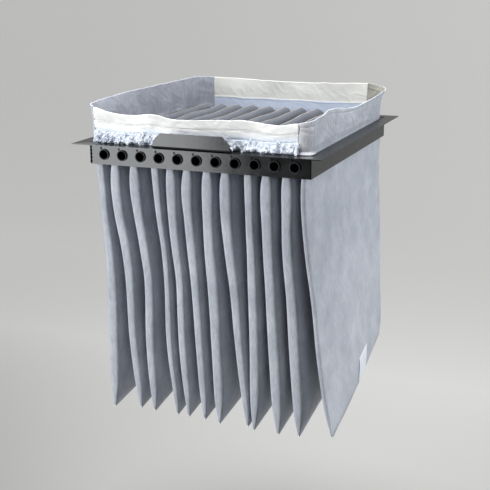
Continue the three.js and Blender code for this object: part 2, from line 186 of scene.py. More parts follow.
print("mid grey 128 is", round(linear(128, 128, 128)[0], 3), "in linear light")


# %% The felt fibre group
def felt_fibre_group():
    tree = bpy.data.node_groups.new("felt_fibre", "ShaderNodeTree")
    socket(tree, "Cloud Scale", "NodeSocketFloat", 14.0)
    socket(tree, "Fibre Scale", "NodeSocketFloat", 230.0)
    socket(tree, "Shade", "NodeSocketColor", out=True)
    socket(tree, "Height", "NodeSocketFloat", out=True)
    links = tree.links
    inside = tree.nodes.new("NodeGroupInput")
    outside = tree.nodes.new("NodeGroupOutput")
    place = tree.nodes.new("ShaderNodeTexCoord")
    cloud = add(tree, "ShaderNodeTexNoise", Detail=5.0, Roughness=0.6)
    links.new(place.outputs["Object"], cloud.inputs["Vector"])
    links.new(inside.outputs["Cloud Scale"], cloud.inputs["Scale"])
    stretch = tree.nodes.new("ShaderNodeMapping")
    stretch.inputs["Scale"].default_value = (1.0, 1.0, 0.2)
    links.new(place.outputs["Object"], stretch.inputs["Vector"])
    fibre = add(tree, "ShaderNodeTexNoise", Detail=3.0, Roughness=0.7)
    links.new(stretch.outputs["Vector"], fibre.inputs["Vector"])
    links.new(inside.outputs["Fibre Scale"], fibre.inputs["Scale"])
    grain = add(tree, "ShaderNodeTexNoise", Scale=1500.0, Detail=2.0)
    links.new(place.outputs["Object"], grain.inputs["Vector"])
    both = add(tree, "ShaderNodeMix", data_type="FLOAT")
    both.inputs[0].default_value = 0.5
    links.new(fibre.outputs["Fac"], both.inputs[2])
    links.new(cloud.outputs["Fac"], both.inputs[3])
    ramp = tree.nodes.new("ShaderNodeValToRGB")
    ramp.color_ramp.elements[0].position = 0.36
    ramp.color_ramp.elements[0].color = (0.74, 0.75, 0.77, 1)
    ramp.color_ramp.elements[1].position = 0.64
    ramp.color_ramp.elements[1].color = (1.16, 1.15, 1.13, 1)
    links.new(both.outputs[0], ramp.inputs["Fac"])
    links.new(ramp.outputs["Color"], outside.inputs["Shade"])
    height = add(tree, "ShaderNodeMix", data_type="FLOAT")
    height.inputs[0].default_value = 0.45
    links.new(fibre.outputs["Fac"], height.inputs[2])
    links.new(grain.outputs["Fac"], height.inputs[3])
    links.new(height.outputs[0], outside.inputs["Height"])
    return tree


felt_fibre = felt_fibre_group()
print("group", felt_fibre.name)


# %% The plain weave group
def woven_group():
    tree = bpy.data.node_groups.new("woven", "ShaderNodeTree")
    socket(tree, "Threads per Metre", "NodeSocketFloat", 900.0)
    socket(tree, "Height", "NodeSocketFloat", out=True)
    socket(tree, "Soil", "NodeSocketFloat", out=True)
    links = tree.links
    inside = tree.nodes.new("NodeGroupInput")
    outside = tree.nodes.new("NodeGroupOutput")
    place = tree.nodes.new("ShaderNodeTexCoord")
    waves = []
    for direction in ("X", "Y", "Z"):
        wave = tree.nodes.new("ShaderNodeTexWave")
        wave.bands_direction = direction
        wave.inputs["Distortion"].default_value = 1.2
        links.new(place.outputs["Object"], wave.inputs["Vector"])
        links.new(inside.outputs["Threads per Metre"], wave.inputs["Scale"])
        waves.append(wave)
    first = add(tree, "ShaderNodeMath", operation="ADD")
    links.new(waves[0].outputs["Fac"], first.inputs[0])
    links.new(waves[1].outputs["Fac"], first.inputs[1])
    second = add(tree, "ShaderNodeMath", operation="ADD")
    links.new(first.outputs[0], second.inputs[0])
    links.new(waves[2].outputs["Fac"], second.inputs[1])
    links.new(second.outputs[0], outside.inputs["Height"])
    soil = add(tree, "ShaderNodeTexNoise", Scale=9.0, Detail=6.0, Roughness=0.65)
    links.new(place.outputs["Object"], soil.inputs["Vector"])
    links.new(soil.outputs["Fac"], outside.inputs["Soil"])
    return tree


woven = woven_group()
print("group", woven.name)


# %% [markdown]
# Felt is never shiny, so it has nearly full roughness and a little sheen, which lightens the
# surface where it turns away. The darker, greyer felts are painted shade: the same felt, given a
# darker colour where it lies in shadow inside the bag and on the inner faces of the collar walls.
# The canvas is a plain weave of warm and soiled white, and two of its pieces carry a bluer band at
# the foot.

# %% Felt materials
def bump_from(tree, height, strength, distance):
    bump = tree.nodes.new("ShaderNodeBump")
    bump.inputs["Strength"].default_value = strength
    bump.inputs["Distance"].default_value = distance
    tree.links.new(height, bump.inputs["Height"])
    return bump


def felt_material(name, colour, cloud_scale=14.0, sheen=0.25):
    material, tree, shader = new_finish(name)
    group = tree.nodes.new("ShaderNodeGroup")
    group.node_tree = felt_fibre
    group.inputs["Cloud Scale"].default_value = cloud_scale
    tint = add(tree, "ShaderNodeMix", data_type="RGBA", blend_type="MULTIPLY")
    tint.inputs[0].default_value = 1.0
    tint.inputs[6].default_value = colour
    tree.links.new(group.outputs["Shade"], tint.inputs[7])
    tree.links.new(tint.outputs[2], shader.inputs["Base Color"])
    bump = bump_from(tree, group.outputs["Height"], 0.5, 0.0012)
    tree.links.new(bump.outputs["Normal"], shader.inputs["Normal"])
    shader.inputs["Roughness"].default_value = 0.95
    shader.inputs["Sheen Weight"].default_value = sheen
    shader.inputs["Sheen Roughness"].default_value = 0.6
    return material


outer_felt = felt_material("outer_felt", linear(184, 188, 197))
# Painted shade: this dark felt stands for the outer felt in shadow on the ridges and inside walls of
# the pockets.
painted_shade_felt = felt_material("painted_shade_felt", linear(83, 87, 97), 22.0, 0.1)
# Painted shade: this felt stands for the outer felt in shade on the inner face of the left collar
# wall.
left_wall_shade_felt = felt_material("left_wall_shade_felt", linear(158, 161, 172), 22.0, 0.1)
strip_felt = felt_material("strip_felt", linear(208, 208, 212))
# Painted shade: this warmer, darker felt stands for the outer felt in shadow on the inner face of
# the right collar wall.
right_wall_shade_felt = felt_material("right_wall_shade_felt", linear(136, 135, 127), 22.0, 0.1)
print("felts:", outer_felt.name, painted_shade_felt.name, left_wall_shade_felt.name, strip_felt.name)


# %% Canvas material
def canvas_material(name, colour, soiled, band=None):
    """Woven cloth. A band is the height below which it is tinted, the tint and its softness."""
    material, tree, shader = new_finish(name)
    group = tree.nodes.new("ShaderNodeGroup")
    group.node_tree = woven
    tint = add(tree, "ShaderNodeMix", data_type="RGBA")
    tint.inputs[6].default_value = colour
    tint.inputs[7].default_value = soiled
    tree.links.new(group.outputs["Soil"], tint.inputs[0])
    result = tint.outputs[2]
    if band:
        low = add(tree, "ShaderNodeMix", data_type="RGBA")
        place = tree.nodes.new("ShaderNodeTexCoord")
        split = tree.nodes.new("ShaderNodeSeparateXYZ")
        tree.links.new(place.outputs["Object"], split.inputs["Vector"])
        height, band_colour, softness = band
        mask = tree.nodes.new("ShaderNodeMapRange")
        mask.inputs["From Min"].default_value = height + softness
        mask.inputs["From Max"].default_value = height - softness
        tree.links.new(split.outputs["Z"], mask.inputs["Value"])
        tree.links.new(mask.outputs["Result"], low.inputs[0])
        tree.links.new(result, low.inputs[6])
        low.inputs[7].default_value = band_colour
        result = low.outputs[2]
    tree.links.new(result, shader.inputs["Base Color"])
    bump = bump_from(tree, group.outputs["Height"], 0.25, 0.0006)
    tree.links.new(bump.outputs["Normal"], shader.inputs["Normal"])
    shader.inputs["Roughness"].default_value = 0.88
    shader.inputs["Sheen Weight"].default_value = 0.1
    return material


front_cloth = canvas_material("front_cloth", linear(250, 248, 242), linear(238, 238, 236),
                              (0.034, linear(222, 232, 248), 0.012))
rear_cloth = canvas_material("rear_cloth", linear(220, 220, 215), linear(208, 208, 203),
                             (0.037, linear(194, 204, 222), 0.001))
frill_cloth = canvas_material("frill_cloth", linear(236, 240, 247), linear(186, 196, 214))
thread = canvas_material("seam_thread", linear(176, 173, 166), linear(146, 144, 140))
white_thread = canvas_material("white_thread", linear(245, 246, 248), linear(214, 219, 228))
print("canvas:", front_cloth.name, rear_cloth.name)


# %% [markdown]
# The frame is folded steel under black paint. Gloss paint shows as a broad mirror of the lamps,
# broken by a faint orange peel, so the bump is wide and shallow. The front rail and the lug keep
# their gloss. The other rails and the tubes are duller, so they get a lower index of refraction.

# %% Paint materials
def paint_material(name, colour, roughness, gloss=1.6):
    material, tree, shader = new_finish(name)
    place = tree.nodes.new("ShaderNodeTexCoord")
    blotch = add(tree, "ShaderNodeTexNoise", Scale=35.0, Detail=6.0, Roughness=0.6)
    tree.links.new(place.outputs["Object"], blotch.inputs["Vector"])
    spread = tree.nodes.new("ShaderNodeMapRange")
    spread.inputs["To Min"].default_value = roughness - 0.05
    spread.inputs["To Max"].default_value = roughness + 0.09
    tree.links.new(blotch.outputs["Fac"], spread.inputs["Value"])
    tree.links.new(spread.outputs["Result"], shader.inputs["Roughness"])
    shade = tree.nodes.new("ShaderNodeValToRGB")
    shade.color_ramp.elements[0].color = [c * 0.75 for c in colour[:3]] + [1]
    shade.color_ramp.elements[1].color = [c * 1.5 for c in colour[:3]] + [1]
    tree.links.new(blotch.outputs["Fac"], shade.inputs["Fac"])
    tree.links.new(shade.outputs["Color"], shader.inputs["Base Color"])
    peel = add(tree, "ShaderNodeTexNoise", Scale=160.0, Detail=2.0)
    tree.links.new(place.outputs["Object"], peel.inputs["Vector"])
    bump = bump_from(tree, peel.outputs["Fac"], 0.12, 0.0006)
    tree.links.new(bump.outputs["Normal"], shader.inputs["Normal"])
    shader.inputs["IOR"].default_value = gloss
    return material


black_paint = paint_material("black_paint", linear(24, 25, 25), 0.15)
worn_paint = paint_material("worn_paint", linear(24, 25, 26), 0.28, 1.28)
tube_paint = paint_material("tube_paint", linear(46, 47, 47), 0.42, 1.3)
coats = {name: worn_paint for name in RAILS}
coats.update({name: tube_paint for name in TUBES})
coats.update({name: black_paint for name in ("front_rail", "front_lug")})
for name, coat in coats.items():
    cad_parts[name].data.materials.clear()
    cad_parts[name].data.materials.append(coat)
print("painted", len(coats), "steel pieces")

# %% [markdown]
# ## Pockets
# Each pocket is one cut of felt, folded at the bottom hem and sewn up its edges. Between two
# pockets the felt rises round the tube to a sewn ridge. A cloth simulation could hang the felt,
# but it can't be told where each edge ends up. So each pocket has a row of sways and a row of
# thicknesses along its length, and a smooth curve runs through them. The shape is a stack of
# rings from the hem up the outside, over the lip and down the inside, so the sheet has its real
# thickness. Noise adds the slow ripples of hanging felt.

# %% Pocket values
FELT = 2.4 * MM
SLEEVE = tube_radius + 0.6 * MM
RIDGE = 18 * MM
RIDGE_RUN = 38 * MM
RIM = 0.6 * MM
POCKET_FRONT = mouth_half_y - 2 * MM
POCKET_REAR = mouth_half_y - 21 * MM
REAR_HEM_SHARE = 0.928
NECK_Z = -56 * MM
BODY_TOP_Z = -50 * MM
HEM_HALF = 2.5 * MM
BOXINESS = 0.8
HEM_STRIP = 14 * MM
RIDGE_ROUNDNESS = 2.8
RIDGE_WANDER = 6.5 * MM
RIDGE_WOBBLE = 2.0 * MM
RIDGE_LIFT = 5.0 * MM
RIDGE_SAG = 1.0 * MM
BOTH_WALLS_RIPPLE = 3.2 * MM
ONE_WALL_RIPPLE = 1.5 * MM
FINE_RIPPLE = 0.5 * MM
THINNEST = 0.8 * MM
LAST_FRONT = 0.5
REAR_SWAY = 0.32
SWAY_STATIONS = [0, 0.1, 0.2, 0.32, 0.45, 0.72, 1]
# How far, in millimetres, each pocket's front edge hangs to the right at the stations. Most of
# these values were printed by a scratch fit to the pocket's left edge in the photo, not chosen.
SWAY = [
    [6, 11.5, 14.3, 22, 25.8, 25.2, 23.8],
    [-2, -2.3, 4.2, 17.9, 27.3, 32.9, 51.4],
    [0.5, 2.1, 9.6, 21.6, 31.9, 30.6, 41.7],
    [8, 12.3, 18, 28.3, 34.2, 38, 57.5],
    [0, 1.8, 4.5, 11.1, 19.4, 23.8, 39.1],
    [-5, -7.5, -2.9, 4, 11, 20.6, 34.5],
    [-2.5, -2.1, -1.3, 2.6, 9.1, 16.8, 24.4],
    [-4.5, -5.2, -2.6, 5.7, 16.4, 31.1, 52.5],
    [4, 5.9, 7.2, 11.6, 15.2, 19.9, 19],
    [0, -0.3, 2.2, 6.1, 11.8, 22.3, 34],
    [1, 2, 1.5, 5.7, 14, 26.7, 38.9],
    [-2, -1, 4, 13.7, 26.1, 45.9, 75.8],
]
# The thickness of each pocket as shares of FULLNESS, at 0.08, 0.2, 0.45 and 0.72 of its length
FULLNESS = 26 * MM
FULL = [
    [0.75, 0.75, 1.05, 1.12], [1.2, 1.15, 1.02, 0.82], [1.25, 1.1, 1.05, 1],
    [0.8, 0.72, 0.62, 0.62], [1.2, 1.05, 0.8, 0.8], [1.25, 1.05, 0.92, 0.82],
    [1.3, 1.2, 1.2, 1.12], [1.3, 1.2, 1.05, 0.8], [0.9, 0.85, 1, 1.04],
    [1.3, 1.2, 1.12, 1.15], [1.2, 1.04, 1.1, 1.15], [1, 1, 1, 1],
]
WIDTH_STATIONS = [0, 0.03, 0.08, 0.2, 0.45, 0.72, 0.9, 1]
print("pocket cuts:", len(SWAY))


# %% Shape of a pocket wall
def crest_height(y):
    run = min(1.0, max(0.0, (mouth_half_y - 3 * MM - abs(y)) / RIDGE_RUN))
    rise = (1 - (1 - run) ** 2) ** 0.7
    return RIM + (RIDGE - RIM) * rise


def towards_rear(y):
    return (y + POCKET_FRONT) / (POCKET_FRONT + POCKET_REAR)


def hem_level(number, y):
    return hem_front_z[number] * mix(1, REAR_HEM_SHARE, towards_rear(y))


def sway_at(number, share, y):
    front = through(SWAY_STATIONS, SWAY[number], share) * MM
    return front * mix(1, REAR_SWAY, towards_rear(y))


def half_width(number, share):
    beside = pitch / 2 - SLEEVE
    full = [FULLNESS / 2 * part for part in FULL[number]]
    shoulder = max(beside, mix(beside, full[0], 0.7))
    values = [beside, shoulder] + full + [0.85 * full[3], HEM_HALF]
    return through(WIDTH_STATIONS, values, share)


def pinch(number, y):
    """The last pocket has no neighbour to lean on, so its front edge closes to half."""
    return mix(LAST_FRONT, 1, smooth((y + POCKET_FRONT) / 0.25)) if number == 11 else 1.0


def ripple(number, y, z, side, apart):
    """Slow folds of the hanging felt: both walls sway together, and apart as far as they may."""
    seed = 7.3 * number
    depth = smooth((NECK_Z - z) / 0.12)
    inwards = mix(0.3, 1, smooth((y + POCKET_FRONT) / 0.16))
    both = noise.noise(Vector((seed, y * 2.2, z * 3.0))) * BOTH_WALLS_RIPPLE * inwards
    own = noise.noise(Vector((seed + 40 * side, y * 5.0, z * 6.5))) * ONE_WALL_RIPPLE
    small = noise.noise(Vector((seed + 80 * side, y * 16.0, z * 10.0))) * FINE_RIPPLE
    taper = smooth((z - hem_level(number, y)) / 0.08)
    return depth * (both + (own + small) * taper * apart)


def ridge_wave(number, y):
    """The sewn ridges wander a little from side to side and up and down."""
    seed = 3.1 * number
    x = noise.noise(Vector((seed, y * 6.0, 0))) * RIDGE_WANDER
    x += noise.noise(Vector((seed, y * 17.0, 2.0))) * RIDGE_WOBBLE
    z = noise.noise(Vector((seed, y * 6.5, 5.0))) * RIDGE_LIFT - RIDGE_SAG
    ends = smooth((mouth_half_y - abs(y)) / 0.06)
    return x * ends, z * ends


print("hem at the front", round(hem_level(5, -POCKET_FRONT), 3))


# %% Points of a pocket ring
MOUTH = [("crest", (k / 6) ** 1.6) for k in range(6)] + [("round", k / 3) for k in range(4)]
BODY = [k / 60 for k in range(6)] + [0.1 + 0.9 * k / 40 for k in range(41)]
QUARTER = [k * math.pi / 12 for k in range(7)]
LONG_STEPS = 44


def mouth_section(kind, t, y, ridge, inset):
    """Offset from the tube's plane and height of the felt, inset from its side at the tube."""
    wave_x, wave_z = ridge_wave(ridge, y)
    crest = crest_height(y) + wave_z - tube_z
    lean = math.asin(SLEEVE / crest)
    if kind == "crest":
        arch = (1 - (1 - t) ** RIDGE_ROUNDNESS) ** (1 / RIDGE_ROUNDNESS)
        off = mix(0.15 * MM, SLEEVE * math.cos(lean), arch) + inset * arch
        up = mix(crest, SLEEVE * math.sin(lean), t) + inset * (1 - t)
        shift = wave_x * (1 - t)
    else:
        angle = lean * (1 - t)
        off, up, shift = SLEEVE * math.cos(angle) + inset, SLEEVE * math.sin(angle), 0.0
    return off, up + tube_z, shift


def pocket_point(number, level, inset, side, end, angle, along):
    kind, t = level
    x = (number - 5.5) * pitch
    outer = (number == 0 and side < 0) or (number == 11 and side > 0)
    in_mouth = kind != "body"
    order = MOUTH.index(level) / (len(MOUTH) - 1) if in_mouth else 1.0
    neck = 0.0 if in_mouth else smooth(t / 0.05)
    front = mix(mouth_half_y, POCKET_FRONT, order) - inset
    rear = mix(mix(mouth_half_y, POCKET_REAR + 8 * MM, order), POCKET_REAR, neck) - inset
    wide = max((pitch / 2 - SLEEVE if in_mouth else half_width(number, t)) - inset, THINNEST)
    radius = min(mix(8 * MM, 40 * MM, neck), 0.78 * wide)
    if along is None:
        y = end * ((front if end < 0 else rear) - radius * (1 - math.sin(angle) ** BOXINESS))
    else:
        y = mix(-(front - radius), rear - radius, along)
    if in_mouth and outer:
        wide = mouth_half_x - abs(x) - inset
        z = mix(RIM, tube_z, order)
    elif in_mouth:
        ridge = number if side > 0 else number - 1
        off, z, shift = mouth_section(kind, t, y, ridge, inset)
        wide = pitch / 2 - off
        x += shift
    else:
        hem = hem_level(number, y)
        z = mix(BODY_TOP_Z, hem + (HEM_STRIP if inset else 0), t)
        share = (z - NECK_Z) / (hem - NECK_Z)
        full = half_width(number, max(share, 0))
        kept = pinch(number, y)
        x -= (1 - kept) * full
        wide = max(kept * full - inset, THINNEST)
        radius = min(radius, 0.78 * wide)
        x += sway_at(number, share, y) + ripple(number, y, z, side, math.cos(angle))
    return Vector((x + side * (wide - radius * (1 - math.cos(angle) ** BOXINESS)), y, z))


def pocket_ring(number, level, inset):
    ring = []
    even = [k / LONG_STEPS for k in range(1, LONG_STEPS)]
    steps = [mix(k, 0.5 - 0.5 * math.cos(math.pi * k), 0.6) for k in even]
    for angle in reversed(QUARTER):
        ring.append(pocket_point(number, level, inset, -1, -1, angle, None))
    for along in steps:
        ring.append(pocket_point(number, level, inset, -1, -1, 0.0, along))
    for angle in QUARTER:
        ring.append(pocket_point(number, level, inset, -1, 1, angle, None))
    for angle in reversed(QUARTER):
        ring.append(pocket_point(number, level, inset, 1, 1, angle, None))
    for along in reversed(steps):
        ring.append(pocket_point(number, level, inset, 1, 1, 0.0, along))
    for angle in QUARTER:
        ring.append(pocket_point(number, level, inset, 1, -1, angle, None))
    return ring


def make_pocket(number):
    levels = MOUTH + [("body", share) for share in BODY]
    outside = [pocket_ring(number, level, 0.0) for level in reversed(levels)]
    inside = [pocket_ring(number, level, FELT) for level in levels]
    piece = skin(f"pocket_felt_{number + 1:02d}", outside + inside)
    piece.data.materials.append(outer_felt)
    piece.data.materials.append(painted_shade_felt)
    lip = (len(outside) - 1) * len(outside[0])
    # Painted shade: faces above the tubes and the inside walls take the darker felt, which stands
    # for the shadow inside the bag.
    for polygon in piece.data.polygons:
        if polygon.center.z > tube_z + 8 * MM or min(polygon.vertices) >= lip:
            polygon.material_index = 1
    return piece


pocket_pieces = [make_pocket(number) for number in range(12)]
print("pockets:", len(pocket_pieces), "with", len(pocket_pieces[0].data.vertices), "points each")

# %% [markdown]
# ## Collar
# Four walls of cloth stand on the mouth of the bag. The felt sides wrap the corners. One
# function makes all four: it walks along an outline in plan and sets up a slice of cloth at each
# step. Each wall has its own height and outward lean along its length, so its top edge sags and
# flares. Slow noise gives the waves, and narrow dips give the creases, the tucked foot and the
# joins.

# %% Collar values
CLOTH = 2.4 * MM
CORNER = 28 * MM
FOOT_Z = 0.9 * MM
PLAIN = 0.35  # share of the height that stays upright below the flare
EDGE_WAVE = 1.4 * MM
SLOW_WAVE = 3.0 * MM
FINE_WAVE = 0.9 * MM
PUCKER = 1.5 * MM
JOIN_DEPTH = 1.6 * MM
FRONT_SEAM_LEFT = 277 * MM
FRONT_SEAM_RIGHT = 258 * MM
REAR_SEAM_LEFT = 237 * MM
REAR_SEAM_RIGHT = 240 * MM


def plan_path(points, count):
    """Evenly spaced places along a plan outline, each with its outward direction."""
    lengths = [0.0]
    for a, b in zip(points, points[1:]):
        lengths.append(lengths[-1] + (b - a).length)
    places = []
    k = 0
    for step in range(count + 1):
        goal = lengths[-1] * step / count
        while k < len(points) - 2 and lengths[k + 1] < goal:
            k += 1
        t = (goal - lengths[k]) / (lengths[k + 1] - lengths[k])
        here = points[k].lerp(points[k + 1], t)
        along = (points[k + 1] - points[k]).normalized()
        outward = Vector((along.y, -along.x))
        if outward.dot(here) < 0:
            outward.negate()
        places.append((here, outward))
    return places


def side_outline(side, front_seam, rear_seam, front_corner, rear_corner):
    x, y, r, q = mouth_half_x, mouth_half_y, rear_corner, front_corner
    points = [Vector((side * (front_seam + 0.15 * MM), -y))]
    for k in range(13):
        a = k * math.pi / 24
        points.append(Vector((side * (x - q + q * math.sin(a)), -(y - q + q * math.cos(a)))))
    for k in range(13):
        a = k * math.pi / 24
        points.append(Vector((side * (x - r + r * math.cos(a)), y - r + r * math.sin(a))))
    points.append(Vector((side * (rear_seam + 0.15 * MM), y)))
    return points


print("collar corner radius", CORNER)


# %% Standing walls of cloth
def cloth_wall(name, places, shares, heights, flares, seed,
               creases=(), wrinkle=1.0, tuck=0.0, bulge=0.0, joins=()):
    """Creases are (share of the height, depth), and joins are shares of the length."""
    rows = [(k / 48) for k in range(49)]
    rings = []
    count = len(places) - 1
    for k, (here, outward) in enumerate(places):
        u = k / count
        height = through(shares, heights, u) * MM - FOOT_Z
        height += noise.noise(Vector((seed, u * 17, 3.0))) * EDGE_WAVE
        flare = through(shares, flares, u) * MM

        def point(row, depth):
            lean = flare * max(0.0, (row - PLAIN) / (1 - PLAIN)) ** 2
            free = smooth((row - 0.12) / 0.3) * wrinkle
            lean += noise.noise(Vector((seed, u * 11, row * 2.0))) * SLOW_WAVE * free
            lean += noise.noise(Vector((seed + 9, u * 34, row * 5.0))) * FINE_WAVE * free
            pull = 1 - 5 * abs(noise.noise(Vector((seed + 3, u * 14 + row * 2, row * 1.6))))
            lean -= max(0.0, pull) ** 2 * PUCKER * wrinkle * smooth(row / 0.2)
            for share, dip in creases:
                share += 0.05 * noise.noise(Vector((seed + 5, u * 5, share)))
                lean -= dip * math.exp(-((row - share) / 0.022) ** 2)
                lean += 0.4 * dip * smooth((row - share) / 0.03)
            hollow = 0.6 + 0.8 * noise.noise(Vector((seed + 7, u * 13, 0.0)))
            hollow *= 1 - 0.8 * smooth((u - 0.7) / 0.15)
            lean -= tuck * hollow * math.exp(-((row - 0.1) / 0.06) ** 2)
            for join in joins:
                beside = math.exp(-((u - join) / 0.006) ** 2)
                lean -= JOIN_DEPTH * beside * smooth((row - 0.1) / 0.1)
            lean += bulge * math.exp(-((u - 0.035) / 0.03) ** 2) * max(0.0, 1 - row / 0.3) ** 2
            x = here.x + outward.x * (lean - depth)
            y = here.y + outward.y * (lean - depth)
            return Vector((x, y, FOOT_Z + row * height))

        outside = [point(row, 0.0) for row in rows]
        inside = [point(row, CLOTH) for row in reversed(rows)]
        rings.append(outside + inside)
    return skin(name, rings)


straight_front = [Vector((-FRONT_SEAM_LEFT + 0.15 * MM, -mouth_half_y)),
                  Vector((FRONT_SEAM_RIGHT - 0.15 * MM, -mouth_half_y))]
straight_rear = [Vector((-REAR_SEAM_LEFT + 0.15 * MM, mouth_half_y)),
                 Vector((REAR_SEAM_RIGHT - 0.15 * MM, mouth_half_y))]
left_wall = cloth_wall(
    "left_felt_wall",
    plan_path(side_outline(-1, FRONT_SEAM_LEFT, REAR_SEAM_LEFT, 14 * MM, CORNER), 150),
    [0, 0.05, 0.12, 0.2, 0.3, 0.45, 0.9, 1], [89, 95, 97, 99, 101, 101, 97, 96],
    [2, 7, 10, 9, 6, 2, 3, 0], 11.0, wrinkle=0.3, tuck=2 * MM)
right_wall = cloth_wall(
    "right_felt_wall",
    plan_path(side_outline(1, FRONT_SEAM_RIGHT, REAR_SEAM_RIGHT, CORNER, 44 * MM), 190),
    [0, 0.05, 0.12, 0.25, 0.52, 0.75, 0.91, 1], [75, 80, 84, 89, 68, 71, 84, 95],
    [0, 1, 2, 0, -2, 5, 15, 7], 23.0, ((0.86, 0.8 * MM), (0.2, 0.8 * MM)), 0.5, 4 * MM, 7 * MM,
    (0.29,))
front_wall = cloth_wall(
    "front_canvas", plan_path(straight_front, 130),
    [0, 0.1, 0.2, 0.295, 0.4, 0.49, 0.74, 0.86, 0.91, 1],
    [88, 75, 72, 77, 68, 68, 74, 68, 67, 74], [2, 0, -1, 2, 1, 3, 1, -2, -1, 0], 37.0,
    ((0.67, 2.2 * MM), (0.4, 1.4 * MM)), 0.8)
rear_wall = cloth_wall(
    "rear_canvas", plan_path(straight_rear, 130),
    [0, 0.2, 0.4, 0.6, 0.8, 1], [96, 94, 91, 90, 92, 95], [0, 3, -1, 2, 0, 4], 51.0,
    ((0.4, 0.6 * MM),), 0.3)
# Painted shade: the inner faces of the side walls get darker copies of the felt for the shadow
# inside the collar.
for wall, inner in ((left_wall, left_wall_shade_felt), (right_wall, right_wall_shade_felt)):
    wall.data.materials.append(outer_felt)
    wall.data.materials.append(inner)
front_wall.data.materials.append(front_cloth)
rear_wall.data.materials.append(rear_cloth)
print("collar walls:", 4)

# %% [markdown]
# The felt of the side walls keeps the clean outer felt outside and takes a darker felt inside,
# which is painted shade. A face belongs to the inside when its normal points to the collar's middle.

# %% Outer felt and painted shade on the inner sides of the collar felt
for wall in (left_wall, right_wall):
    for polygon in wall.data.polygons:
        centre, normal = polygon.center, polygon.normal
        if normal.x * centre.x / mouth_half_x + normal.y * centre.y / mouth_half_y < -0.2:
            polygon.material_index = 1
right_wall.data.materials.append(strip_felt)
for polygon in right_wall.data.polygons:
    if polygon.center.y < 18 * MM - mouth_half_y and polygon.material_index == 0:
        polygon.material_index = 2
print("painted shade faces:", sum(p.material_index for p in left_wall.data.polygons))

# %% [markdown]
# ## Frill
# The raw lower edge of the front canvas is gathered. It is sewn flat at the top and swings out in
# uneven ruffles over the flange. A sine wave with a wandering period gives the ruffles, and a
# fast noise on the lower edge gives the torn outline.

# %% The gathered frill
FRILL_TOP = 27 * MM
FRILL_FOOT = 1.0 * MM
FRILL_CLOTH = 1.2 * MM
FRILL_PERIOD = 30 * MM
FRILL_REACH = 8 * MM
FRILL_SWING = 4.2 * MM
FRILL_SHIFT = 3.5 * MM
AGAINST_WALL = 0.6 * MM
TEAR = 11.0 * MM


def frill_swing(x):
    period = FRILL_PERIOD * (1 + 0.25 * noise.noise(Vector((x * 9, 2.0, 0))))
    return math.sin(2 * math.pi * x / period)


def make_frill():
    steps = 420
    rows = [k / 14 for k in range(15)]
    rings = []
    for k in range(steps + 1):
        x = mix(-FRONT_SEAM_LEFT, FRONT_SEAM_RIGHT, k / steps)
        swing = frill_swing(x)
        curl = noise.noise(Vector((x * 30, 8.0, 0)))
        torn = noise.noise(Vector((x * 150, 5.0, 0)))

        def point(row, depth):
            fall = 1 - row
            out = AGAINST_WALL + FRILL_REACH * fall ** 1.3 + FRILL_SWING * swing * fall ** 0.8
            out += curl * 2.5 * MM * fall
            out += noise.noise(Vector((x * 70, row * 3, 4.0))) * 3.0 * MM * smooth(fall * 2)
            z = mix(FRILL_FOOT, FRILL_TOP, row)
            z += (4.0 * MM + 2.0 * MM * curl + TEAR * torn) * fall ** 1.6
            shift = FRILL_SHIFT * math.cos(2 * math.pi * x / FRILL_PERIOD) * fall
            y = -mouth_half_y - max(out, AGAINST_WALL) - depth
            return Vector((x + shift, y, max(z, 0.8 * MM)))

        rings.append([point(row, FRILL_CLOTH) for row in rows]
                     + [point(row, 0.0) for row in reversed(rows)])
    return skin("gathered_frill", rings)


frill = make_frill()
frill.data.materials.append(frill_cloth)
print("frill points:", len(frill.data.vertices))

# %% [markdown]
# ## Care tag
# A coated patch is sewn along the hem of the last pocket. It is blank, and its face is slightly
# uneven in tone. It follows the swaying wall that it is sewn to.

# %% The care tag
TAG_RISE = 2 * MM
TAG_HEIGHT = 70 * MM
TAG_FACES = ((1.5 * MM, 1), (0.7 * MM, -1))


def make_tag():
    low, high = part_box("care_tag")
    steps, rises = 24, 16
    rings = []
    for k in range(steps + 1):
        y = mix(low[1], high[1], k / steps)
        ring = []
        for off, order in TAG_FACES:
            column = []
            for j in range(rises + 1):
                z = hem_level(11, y) + TAG_RISE + TAG_HEIGHT * j / rises
                share = (z - NECK_Z) / (hem_level(11, y) - NECK_Z)
                kept = 2 * pinch(11, y) - 1
                x = 5.5 * pitch + sway_at(11, share, y) + kept * half_width(11, share)
                x += ripple(11, y, z, 1, 1.0) + off
                column.append(Vector((x, y, z)))
            ring += column[::order]
        rings.append(ring)
    return skin("blank_care_tag", rings)


def tag_material():
    material, tree, shader = new_finish("tag_coat")
    place = tree.nodes.new("ShaderNodeTexCoord")
    smear = add(tree, "ShaderNodeTexNoise", Scale=60.0, Detail=4.0)
    tree.links.new(place.outputs["Object"], smear.inputs["Vector"])
    ramp = tree.nodes.new("ShaderNodeValToRGB")
    ramp.color_ramp.elements[0].color = linear(220, 225, 234)
    ramp.color_ramp.elements[1].color = linear(238, 241, 246)
    tree.links.new(smear.outputs["Fac"], ramp.inputs["Fac"])
    tree.links.new(ramp.outputs["Color"], shader.inputs["Base Color"])
    shader.inputs["Roughness"].default_value = 0.55
    return material


tag = make_tag()
tag.data.materials.append(tag_material())
print("tag points:", len(tag.data.vertices))

# %% [markdown]
# ## Stitches
# A stitch repeats along a line, so Geometry Nodes make it: the line is resampled at the stitch
# spacing, a short rounded bar is put on each point and turned along the line, and the copies are
# made real. One tree serves every seam, with its own spacing, length and thickness. A picture of
# stitches could be laid on the felt instead, but a real bar catches the light and stands out.

